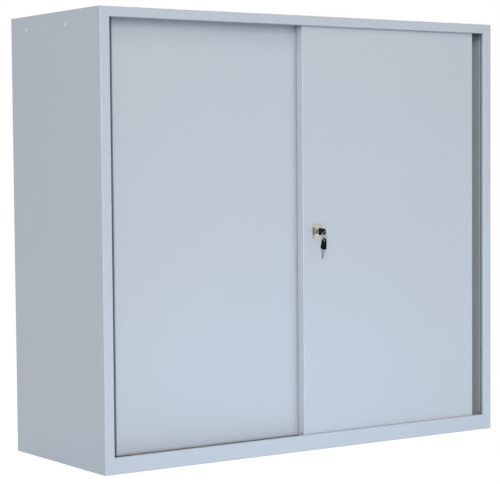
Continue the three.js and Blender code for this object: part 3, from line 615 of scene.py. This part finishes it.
def pan_grid(low, high, slot_places, slot_half_width, holes):
    """Skin of a door pan on a grid of distances along the flat sheet, and its face mask.

    Past the edge of the face, an excess e bends through a quarter circle of radius r, so it
    reaches r sin(e/r) outwards and r (1 - cos(e/r)) back, then runs straight back. On the
    upright sides a second quarter circle turns it inwards to the lip. At a corner the greater
    of the two excesses counts, and the other's share of it is the angle round the corner, so
    the returns run round the corner like a drawn tray. Round a hole of radius h, a point at
    (u, v) with m = max(|u|, |v|) moves in by m / hypot(u, v), in full up to m = h and fading
    to nothing at m = 2 h, which makes a square of grid lines round.
    """
    radius = fold_radius + sheet
    arc = radius * np.pi / 2
    depth = high.y - low.y
    straight = depth - 2 * radius
    half = np.array([(high.x - low.x) / 2 - radius, (high.z - low.z) / 2 - radius])
    middle = np.array([(high.x + low.x) / 2, (high.z + low.z) / 2])
    bend = arc * np.linspace(0, 1, 7)
    margin = np.array([fold_margin])
    mid_return = arc + depth / 2 - radius
    slot_edges = mid_return + np.array([-1, 1]) * slot_half_width
    hole_lines = np.append(np.linspace(-1, 1, 9), [-2, 2])
    back = np.concatenate([bend, arc + margin, slot_edges, mid_return + hole_lines * hang_hole,
                           arc + straight - margin])
    lip = np.concatenate([arc + straight + bend, 2 * arc + straight + margin,
                          [2 * arc + straight + door_lip - radius]])
    foot = np.append(back, arc + straight + radius)
    over_rollers = (slot_places[:, None] + np.array([-1, 1]) * roller_slot).ravel()
    hang_line = hang_hole_rise - radius - half[1]

    def lines(half, beyond, extra):
        even = np.linspace(-half + fold_margin, half - fold_margin, int(2 * half / pan_pitch))
        clear = abs(even[:, None] - extra).min(axis=1, initial=1) > pan_pitch / 8
        return np.unique(np.concatenate([-half - beyond, even[clear], extra, half + beyond]))

    hole_x = (holes[:, :1] - middle[0] + hole_lines * lock_hole).ravel()
    hole_z = (holes[:, 1:] - middle[1] + hole_lines * lock_hole).ravel()
    across = lines(half[0], np.append(back, lip), np.append(over_rollers - middle[0], hole_x))
    up = lines(half[1], foot, np.append(hole_z, hang_line + hole_lines * hang_hole))
    p, q = np.meshgrid(across, up, indexing="ij")
    hang_places = [(side * (half[0] + mid_return), hang_line, hang_hole) for side in (-1, 1)]
    round_holes = hang_places + [(*(hole - middle), lock_hole) for hole in holes]
    opened = np.zeros((len(across) - 1, len(up) - 1), bool)
    for at_p, at_q, hole_radius in round_holes:
        u, v = p - at_p, q - at_q
        square = np.maximum(abs(u), abs(v))
        inside = square < hole_radius * hole_margin_share
        opened |= inside[:-1, :-1] & inside[1:, 1:]
        pull = square / np.maximum(np.hypot(u, v), merge_distance) - 1
        pull *= np.clip(2 - square / hole_radius, 0, 1)
        p, q = p + u * pull, q + v * pull
    beyond_p, beyond_q = np.maximum(abs(p) - half[0], 0), np.maximum(abs(q) - half[1], 0)
    excess = np.maximum(beyond_p, beyond_q)
    lesser = np.minimum(beyond_p, beyond_q)
    share = np.divide(lesser, excess, out=np.zeros_like(excess), where=excess > 0)
    round_corner = np.where(beyond_p >= beyond_q, share, 2 - share) * np.pi / 4
    first = np.clip(excess / radius, 0, np.pi / 2)
    second = np.where(beyond_q > 0, 0, np.clip((excess - arc - straight) / radius, 0, np.pi / 2))
    run = np.clip(excess - arc, 0, np.where(beyond_q > 0, np.inf, straight))
    past_lip = np.where(beyond_q > 0, 0, np.maximum(excess - 2 * arc - straight, 0))
    reach = radius * np.sin(first) - radius * (1 - np.cos(second)) - past_lip
    back_by = radius * (1 - np.cos(first)) + run + radius * np.sin(second)
    x = middle[0] + np.sign(p) * (np.minimum(abs(p), half[0]) + reach * np.cos(round_corner)
                                  * (excess > 0))
    z = middle[1] + np.sign(q) * (np.minimum(abs(q), half[1]) + reach * np.sin(round_corner))
    wave = panel_wave((p / half[0] + 1) / 2, (q / half[1] + 1) / 2, door_wave)
    grid = np.stack([x, low.y + back_by + wave * (excess == 0), z], axis=-1)

    centre, mid_p, mid_q = ((at[:-1, :-1] + at[1:, 1:]) / 2 for at in (grid, p, q))
    lip_at_corner = (abs(mid_p) > half[0] + arc + straight) & (abs(mid_q) > half[1])
    over_slot = ((abs(centre[..., 0, None] - slot_places) < roller_slot).any(axis=-1)
                 & (abs(centre[..., 1] - low.y - depth / 2) < slot_half_width)
                 & (mid_q < -half[1] - arc))
    return grid, ~(lip_at_corner | over_slot | opened)


lock_low, lock_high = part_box("lock_body")
lock_axis = np.array([(lock_low.x + lock_high.x) / 2, (lock_low.z + lock_high.z) / 2])
for door, holes in (("left", np.empty((0, 2))), ("right", lock_axis[None, :])):
    low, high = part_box(f"{door}_door_pan")
    rollers = [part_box(f"{door}_door_roller_{number}") for number in (1, 2)]
    slot_places = np.array([(start.x + end.x) / 2 for start, end in rollers])
    roller_width = rollers[0][1].y - rollers[0][0].y
    grid, keep = pan_grid(low, high, slot_places, roller_width / 2 + roller_slot_margin, holes)
    fitted(shape(f"{door}_door_sheet", grid, keep=keep, wall=sheet),
           f"{door}_door", "door_paint", door_paint, f"{door}_door_pan")
    finish_nodes(door_paint, f"{door}_door_stiffener")


# Rollers, axles and guides
# Each door stands on two moulded nylon rollers, whose grooves ride the ribs. A hat bracket
# and a riveted axle hold each one, and two nylon fins steady the door's top.
groove_depth = 0.003
groove_half_width = 0.0023
roller_chamfer = 0.0008
hub_radius = 0.0055
web_recess = 0.0012
axle_radius = 0.0025
axle_head_height = 0.0014
axle_head_shares = ((0, 0), (0.55, 0.1), (0.9, 0.5), (1, 1))
roller_bore = axle_radius + seat_gap

nylon = finish("moulded_nylon", coat_surface, {
    "Colour": linear((232, 230, 221)), "Drift": 0.05, "Roughness": 0.46, "Gloss Drift": 0.1,
    "Grain Scale": 1500.0, "Grain Depth": 0.00001},
    [("Subsurface Weight", 0.15), ("Subsurface Scale", 0.002)])


def mirrored_profile(half):
    """Profile that runs out along one side and comes back along the other."""
    half = np.asarray(half, float)
    return np.vstack([half, half[::-1] * np.array([1, -1])])


for door in ("left", "right"):
    for number in (1, 2):
        name = f"{door}_door_roller_{number}"
        low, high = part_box(name)
        centre = (low + high) / 2
        rim, half = (high.z - low.z) / 2, (high.y - low.y) / 2
        profile = mirrored_profile([
            (roller_bore, half), (hub_radius, half),
            (hub_radius + web_recess / 2, half - web_recess),
            (rim - groove_depth - web_recess, half - web_recess),
            (rim - groove_depth - web_recess / 2, half), (rim - roller_chamfer, half),
            (rim, half - roller_chamfer), (rim, groove_half_width + roller_chamfer / 2),
            (rim - roller_chamfer / 2, groove_half_width),
            (rim - groove_depth, groove_half_width - roller_chamfer)])
        grid = turned(profile[:, :1], profile[:, 1], centre)
        fitted(shape(f"{door}_door_wheel_{number}", grid, wrap=(True, True)),
               f"{door}_roller_{number}", "nylon", nylon, name)
        name = f"{door}_door_axle_{number}"
        low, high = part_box(name)
        head = np.array([(high.z - low.z) / 2, axle_head_height])
        length = high.y - low.y
        profile = np.vstack([head * axle_head_shares, [
            (axle_radius, axle_head_height), (axle_radius, length - roller_chamfer / 2),
            (axle_radius - roller_chamfer / 2, length), (0, length)]])
        grid = turned(profile[:, :1], profile[:, 1], (centre.x, low.y, centre.z))
        fitted(shape(f"{door}_door_rivet_{number}", grid, wrap=(False, True)),
               f"{door}_door", "zinc_steel", zinc, name)
        finish_nodes(zinc, f"{door}_door_roller_bracket_{number}")
        finish_nodes(nylon, f"{door}_door_guide_{number}")


# Lock
# A cam lock with a rectangular face plate, raised bezel and threaded barrel goes through the
# front door and is held by a nut. Its plug turns in the barrel with the key and carries the
# cam, which closes against a keeper on the rear door.
plate_power = 10
plate_bevel = 0.0005
bezel_radius = 0.009
bezel_rise = 0.0015
bezel_round = 0.0006
thread_pitch = 0.0015
thread_depth = 0.0005
plug_clearance = 0.0003
plug_chamfer = 0.0005
plug_tail_radius = 0.004
face_groove = 0.0003
keyway_power = 6
keyway_width = 0.0026
keyway_height = 0.0066
keyway_depth = 0.0188
lock_sides = 192

nickel = finish("satin_nickel", plated_surface, {
    "Colour": linear((192, 187, 177)), "Dull Colour": linear((180, 174, 163)),
    "Roughness": 0.20, "Roughness Spread": 0.10, "Line Scale": (1500.0, 1500.0, 120.0),
    "Line Depth": 0.000004}, [("Metallic", 1.0)])
finish_nodes(zinc, "lock_nut", "lock_cam", "lock_keeper")

plug_low, plug_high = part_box("lock_plug")
plug_radius = (plug_high.x - plug_low.x) / 2
door_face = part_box("right_door_pan")[0].y
lock_centre = (lock_axis[0], door_face, lock_axis[1])
plate_half = np.array([lock_high.x - lock_low.x, lock_high.z - lock_low.z]) / 2
angle = np.linspace(0, 2 * np.pi, lock_sides, endpoint=False)


def oblong(half_width, half_height, power):
    """Distance from the middle to the edge of an oblong with round corners, at each angle:
    one over the power-th root of |cos / half width|^power + |sin / half height|^power."""
    return 1 / ((abs(np.cos(angle)) / half_width) ** power
                + (abs(np.sin(angle)) / half_height) ** power) ** (1 / power)


def around(radii):
    """One row of equal radius all round for each radius."""
    return np.asarray(radii, float)[:, None] + 0 * angle


def rounded(radius):
    """Quarter-circle edge in five steps: how far in and how far down each of them lies."""
    turn = np.linspace(0, np.pi / 2, 5)
    return radius * (1 - np.sin(turn)), radius * (1 - np.cos(turn))


bezel_front = lock_low.y - door_face
plate_front = bezel_front + bezel_rise
plate_back = -seat_gap
barrel_end = lock_high.y - door_face
barrel_radius = lock_hole - seat_gap
bore_radius = plug_radius + plug_clearance
bezel_in, bezel_down = rounded(bezel_round)
plate_in, plate_down = rounded(plate_bevel)
plate_rows = oblong(*(plate_half[:, None, None] - plate_in[:, None]), plate_power)
face_share = np.linspace(0, 1, 6)[1:-1, None]
face_rows = (1 - face_share) * (bezel_radius + plate_bevel / 2) + face_share * plate_rows[0]
thread_y = np.arange(plate_back + thread_pitch, barrel_end - thread_pitch / 2, thread_pitch / 5)
thread_phase = thread_y[:, None] / thread_pitch - angle / (2 * np.pi)
thread_rows = barrel_radius - thread_depth * 2 * abs(thread_phase % 1 - 0.5)
body_radius = np.vstack([
    around([bore_radius, bore_radius, bore_radius + bezel_round / 2]),
    around(bezel_radius - bezel_in), around([bezel_radius, bezel_radius + plate_bevel / 2]),
    face_rows, plate_rows, plate_rows[-1:], around([barrel_radius, barrel_radius]), thread_rows,
    around([barrel_radius - thread_depth, barrel_radius - 2 * thread_depth])])
body_along = np.concatenate([
    [barrel_end, bezel_front + bezel_round / 2, bezel_front], bezel_front + bezel_down,
    [plate_front - plate_bevel / 4, plate_front], plate_front + 0 * face_share[:, 0],
    plate_front + plate_down, [plate_back, plate_back, plate_back + thread_pitch / 2], thread_y,
    [barrel_end - thread_pitch / 4, barrel_end]])
body_grid = turned(body_radius, body_along, lock_centre, lock_sides)
fitted(shape("lock_plate_and_barrel", body_grid, wrap=(True, True)),
       "right_door", "nickel_plate", nickel, "lock_body")

plug_front = plug_low.y - door_face
tail_end = plug_high.y - door_face
keyway = oblong(keyway_width / 2, keyway_height / 2, keyway_power)
plug_rim = plug_radius - plug_chamfer
plug_rows = np.vstack([
    around([0, plug_tail_radius, plug_tail_radius, plug_radius, plug_radius, plug_rim]),
    around(plug_rim - np.array([1, 1.5, 3, 3.5]) * face_groove),
    (keyway + plug_radius) / 2 - plug_chamfer, keyway + face_groove, keyway, keyway, 0 * keyway])
plug_along = np.append([tail_end, tail_end, barrel_end, barrel_end], plug_front + np.array([
    plug_chamfer, 0, 0, face_groove, face_groove, 0, 0, 0, face_groove, keyway_depth,
    keyway_depth]))
plug_grid = turned(plug_rows, plug_along, lock_centre, lock_sides)
fitted(shape("lock_core_plug", plug_grid, wrap=(False, True)),
       "lock_core", "nickel_plate", nickel, "lock_plug")


# Keys
# Two flat keys have nickel plated blades with a milled groove on each side and cuts in the
# lower edge, and moulded black heads with a raised border and grip ridges. One is in the
# lock, and the other hangs on the ring.
key_head_low, key_head_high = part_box("key_head")
head_length = key_head_high.y - key_head_low.y
head_width = key_head_high.z - key_head_low.z
head_thickness = key_head_high.x - key_head_low.x
head_ring_end = 0.014
head_corner = 0.006
head_hole_radius = 0.003
head_hole_inset = 0.0055
border = 0.0019
border_proud = 0.00045
edge_round = 0.0009
ridge_pitch = 0.0021
ridge_height = 0.00022
ridge_end_share = 0.62
blade_shoulder = 0.003
cut_shares = np.array([0.18, 0.34, 0.5, 0.66, 0.82])
cut_depth_shares = np.array([0.3, 0.2, 0.4, 0.24, 0.34])
cut_half_share = 0.06
cut_steepness = 1.25
milled_depth_share = 0.45
milled_place_share = 0.12
milled_half_share = 0.13
blade_tip_share = 0.08
blade_bevel_share = 0.15
ring_wire = 0.0009
ring_play = 0.0005
ring_turn = math.radians(9)
spare_lean = math.radians(8)

black_plastic = finish("moulded_black", coat_surface, {
    "Colour": linear((9, 9, 11)), "Drift": 0.2, "Roughness": 0.36, "Gloss Drift": 0.12,
    "Grain Scale": 2600.0, "Grain Depth": 0.00002}, [("Specular IOR Level", 0.1)])
key_steel = finish("key_steel", plated_surface, {
    "Colour": linear((168, 170, 173)), "Dull Colour": linear((146, 149, 153)),
    "Roughness": 0.26, "Roughness Spread": 0.12, "Line Scale": (1500.0, 1500.0, 120.0),
    "Line Depth": 0.000004}, [("Metallic", 1.0)])


def head_outline(count=160):
    """Tapered head with round corners, from the blade at x = 0 to the ring end at -x.

    Each corner is the curve (1-t)^2 start + 2t(1-t) corner + t^2 end, and the whole outline
    is then divided into equal lengths.
    """
    corner = np.array([(0, -head_width / 2), (0, head_width / 2),
                       (-head_length, head_ring_end / 2), (-head_length, -head_ring_end / 2)])
    ways = [np.roll(corner, step, axis=0) - corner for step in (1, -1)]
    start, end = (corner + head_corner * way / np.linalg.norm(way, axis=1, keepdims=True)
                  for way in ways)
    t = np.linspace(0, 1, 9)[None, :, None]
    bends = ((1 - t) ** 2 * start[:, None] + 2 * t * (1 - t) * corner[:, None]
             + t ** 2 * end[:, None]).reshape(-1, 2)
    closed = np.vstack([bends, bends[:1]])
    return points_at(np.linspace(0, distance_along(closed)[-1], count, endpoint=False), closed)


def head_grid():
    """Closed skin of a key head: rays from the ring hole to the outline, on both faces.

    Stations along a ray are set by their distance from the outline or from the hole. The
    height is the half thickness at both borders, lower between them, and waves by
    cos(2 pi x / pitch) over the ridges.
    """
    hole = np.array([-head_length + head_hole_inset, 0])
    outline = head_outline()
    ray = outline - hole
    length = np.linalg.norm(ray, axis=1, keepdims=True)
    ray = ray / length
    room = length - head_hole_radius
    tight = np.minimum(1, room / (2.4 * border))
    edge_in, edge_down = rounded(edge_round)
    top = head_thickness / 2
    from_hole = np.append(edge_in[::-1] / 2, border * 0.6)
    hole_z = np.append(top - edge_down[::-1] / 2, top)
    from_edge = np.append([border * 1.15, border * 0.9], edge_in)
    outer_z = np.append([top - border_proud, top], top - edge_down)
    inner = head_hole_radius + from_hole * tight
    outer = length - from_edge * tight
    share = np.linspace(0, 1, 22)[1:-1]
    between = (inner[:, -1:] + border * 0.3 * tight) * (1 - share) + outer[:, :1] * share
    distance = np.hstack([inner, between, outer])
    flat = hole + ray[:, None, :] * distance[..., None]
    height = np.concatenate([hole_z, top - border_proud + 0 * share, outer_z])
    height = np.broadcast_to(height, distance.shape).copy()
    ridged = slice(len(hole_z), len(hole_z) + len(share))
    x = flat[:, ridged, 0]
    window = np.clip((head_length * ridge_end_share + x) / ridge_pitch + 1, 0, 1)
    height[:, ridged] += (ridge_height * window * np.clip(-x / ridge_pitch - 1, 0, 1)
                          * (1 + np.cos(2 * np.pi * x / ridge_pitch)) / 2)
    face = np.concatenate([flat, height[..., None]], axis=-1)
    return np.hstack([face, face[:, ::-1] * np.array([1, 1, -1])])


def blade_grid(length, height, thickness):
    """Closed skin of a key blade along +x: sections of 28 points at stations along it.

    The upper edge is straight down to the tip's slope. The lower edge rises over each cut as
    depth * (1 - |x - cut| / half width), held flat at the cut's bottom. Each side is hollowed
    by depth * exp(-((z - middle) / half width)^6) for the milled groove.
    """
    station = np.linspace(0, length, 90)
    cut_place = blade_shoulder + (length - blade_shoulder) * cut_shares
    from_cut = abs(station[:, None] - cut_place) / (length * cut_half_share)
    flank = np.clip(cut_steepness * (1 - from_cut), 0, 1)
    cut = (height * cut_depth_shares * flank).max(axis=1)
    upper = np.clip((length - station) / (height / 4), blade_tip_share, 1) * height / 2
    lower = np.maximum(-upper, -height / 2 + cut)
    share = np.concatenate([np.linspace(0, 1, 14), np.linspace(1, 0, 14)])
    side = np.repeat([1, -1], 14)
    z = lower[:, None] + (upper - lower)[:, None] * share
    from_groove = (z / height - milled_place_share) / milled_half_share
    groove = milled_depth_share * thickness / 2 * np.exp(-from_groove ** 6)
    at_edge = (share == 0) | (share == 1)
    y = side * (thickness / 2 - groove - at_edge * blade_bevel_share * thickness)
    grid = np.stack([station[:, None] + 0 * z, z, y], axis=-1)
    start, end = (grid[[row]].mean(axis=1, keepdims=True) + 0 * grid[[row]] for row in (0, -1))
    return np.vstack([start, grid, end])


def placed(grid, rotation, origin):
    """Grid turned by a rotation and moved to an origin."""
    return grid @ np.array(rotation).T + np.array(origin)


blade_low, blade_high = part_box("key_blade")
blade_height = blade_high.z - blade_low.z
blade_thickness = blade_high.x - blade_low.x
blade_length = blade_high.y - key_head_high.y
ring_low, ring_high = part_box("key_ring")
ring_radius = (ring_high.z - ring_low.z) / 2 - ring_wire
key_turn = Matrix.Rotation(math.pi / 2, 3, "Y") @ Matrix.Rotation(math.pi / 2, 3, "Z")
spare_key_turn = (Matrix.Rotation(ring_turn, 3, "Z") @ Matrix.Rotation(spare_lean, 3, "X")
                  @ Matrix.Rotation(math.pi / 2, 3, "Y"))
key_shoulder = (lock_axis[0], key_head_high.y, lock_axis[1])
ring_bottom = (ring_low + ring_high) / 2 - Vector((0, 0, ring_radius))
hung_by = head_length - head_hole_inset + head_hole_radius - ring_wire - ring_play
spare_shoulder = ring_bottom + spare_key_turn @ Vector((hung_by, 0, 0))
for tag, body, rotation, origin in (("key", "lock_core", key_turn, key_shoulder),
                                    ("spare_key", "spare_key", spare_key_turn, spare_shoulder)):
    grid = placed(blade_grid(blade_length, blade_height, blade_thickness), rotation, origin)
    fitted(shape(tag + "_milled_blade", grid, wrap=(False, True)),
           body, "nickel_plate", key_steel, tag + "_blade")
    grid = placed(head_grid(), rotation, origin)
    fitted(shape(tag + "_moulded_head", grid, wrap=(True, True)),
           body, "black_plastic", black_plastic, tag + "_head")


# Key ring
# A split ring of flattened spring wire, wound twice, hangs through the hole of the key in the
# lock and carries the spare key.
wire_half_width = 0.0008
wire_half_height = 0.00042
wire_corner_power = 4
wire_jog = 0.12
wire_end_gap = 0.15
ring_split_place = 2.2


def ring_grid(stations=400, sides=20):
    """Flat wire carried twice round a circle, half its thickness to one side in the first
    turn and to the other in the second. Its ends stop short of the jog between them.

    The section at angle s is (|cos s|^(2/n) width, |sin s|^(2/n) height) with their signs.
    """
    turn = np.linspace(wire_end_gap, 4 * np.pi - wire_end_gap, stations)
    side = wire_half_height * np.tanh((turn - 2 * np.pi) * 2 / wire_jog)
    angle = np.linspace(0, 2 * np.pi, sides, endpoint=False)
    section = np.stack([np.cos(angle), np.sin(angle)])
    section = np.sign(section) * abs(section) ** (2 / wire_corner_power)
    from_end = np.minimum(turn - turn[0], turn[-1] - turn)
    taper = np.clip(from_end / (turn[1] - turn[0]), 0, 1)[:, None]
    out = ring_radius + taper * wire_half_width * section[0]
    along = side[:, None] + taper * wire_half_height * section[1]
    place = (turn + ring_split_place)[:, None]
    return np.stack([out * np.sin(place), along, out * np.cos(place)], axis=-1)


grid = placed(ring_grid(), Matrix.Rotation(ring_turn, 3, "Z"), (ring_low + ring_high) / 2)
fitted(shape("split_ring", grid, wrap=(False, True), sharp=60),
       "ring", "nickel_plate", nickel, "key_ring")


# Floor and light
# The cabinet stands on a plain pale floor before a white background, which its surfaces also
# mirror. A large lamp from behind the camera gives most of the light, and weaker ones above
# the front, low before the doors, far out on the left and behind the cabinet even it out.
floor_size = 14.0
floor_drop = 0.0005
floor_grey = (236, 246, 255)
floor_shadow = (0.25, 0.25, 0.25)
floor_glow = 0.87
floor_near = 1.2
floor_far = 2.6
room_light = (0.17, 0.15, 0.13)
white = (1.0, 1.0, 1.0)
cabinet_middle = (0.0, 0.0, 0.6)
door_feet = (0.0, -0.2, 0.22)
left_side = (-0.6, 0.0, 0.6)


def rays_of(tree, *kinds):
    """1 for rays of the named kinds, and 0 for all others."""
    rays = node(tree, "LightPath").outputs
    mask = rays[kinds[0]]
    for kind in kinds[1:]:
        mask = node(tree, "Math", {0: mask, 1: rays[kind]}, operation="MAXIMUM").outputs[0]
    return mask


edges = np.array([-floor_size / 2, floor_size / 2])
floor = shape("floor", np.stack(
    np.broadcast_arrays(edges[:, None], edges[None, :], -floor_drop), axis=-1))
floor_finish = bpy.data.materials.new("studio_floor")
floor_finish.use_nodes = True
tree = floor_finish.node_tree
tree.nodes.clear()
plain = node(tree, "BsdfDiffuse", {"Color": linear(floor_grey)})
glow = node(tree, "Emission", {"Color": (*white, 1), "Strength": floor_glow})
dark = node(tree, "BsdfDiffuse", {"Color": (*floor_shadow, 1)})
seen_near = node(tree, "AddShader", {0: glow, 1: dark})
seen_far = node(tree, "Emission", {"Color": (*white, 1), "Strength": 1.0})
place = node(tree, "TexCoord").outputs["Object"]
distance = node(tree, "VectorMath", {0: place}, operation="LENGTH").outputs["Value"]
fade = node(tree, "MapRange", {"Value": distance, "From Min": floor_near, "From Max": floor_far},
            interpolation_type="SMOOTHSTEP")
seen = node(tree, "MixShader", {0: fade, 1: seen_near, 2: seen_far})
direct = rays_of(tree, "Is Camera Ray", "Is Glossy Ray")
node(tree, "OutputMaterial",
     {"Surface": node(tree, "MixShader", {0: direct, 1: plain, 2: seen})})
floor.data.materials.append(floor_finish)

world = bpy.data.worlds.new("studio")
world.use_nodes = True
bpy.context.scene.world = world
tree = world.node_tree
tree.nodes.clear()
room = node(tree, "Background", {"Color": (*room_light, 1), "Strength": 1.0})
backdrop = node(tree, "Background", {"Color": (*white, 1), "Strength": 1.0})
direct = rays_of(tree, "Is Camera Ray", "Is Glossy Ray", "Is Transmission Ray")
node(tree, "OutputWorld",
     {"Surface": node(tree, "MixShader", {0: direct, 1: room, 2: backdrop})})


def softbox(name, place, target, size, power, colour=white):
    """Lamp of a width and height, aimed from a place at a target."""
    lamp = bpy.data.lights.new(name, "AREA")
    lamp.shape = "RECTANGLE"
    lamp.size, lamp.size_y = size
    lamp.energy = power
    lamp.color = colour
    lamp_object = bpy.data.objects.new(name, lamp)
    aim = (Vector(target) - Vector(place)).to_track_quat("-Z", "Y")
    lamp_object.matrix_world = Matrix.Translation(place) @ aim.to_matrix().to_4x4()
    bpy.context.scene.collection.objects.link(lamp_object)


softbox("main_lamp", (-7.5, -10.9, 4.4), cabinet_middle, size=(2.8, 6.0), power=990.0)
softbox("top_lamp", (0.3, -3.0, 4.4), cabinet_middle, size=(2.4, 1.6), power=34.0)
softbox("low_lamp", (0.0, -1.35, 0.06), door_feet, size=(2.2, 0.08), power=5.2,
        colour=(0.54, 0.77, 1.0))
softbox("side_lamp", (-11.0, -2.0, 3.5), left_side, size=(3.0, 3.0), power=190.0,
        colour=(0.60, 0.78, 1.0))
softbox("rear_lamp", (3.0, 7.0, 5.0), cabinet_middle, size=(4.0, 3.0), power=300.0)

view = bpy.context.scene.view_settings
view.view_transform = "Standard"
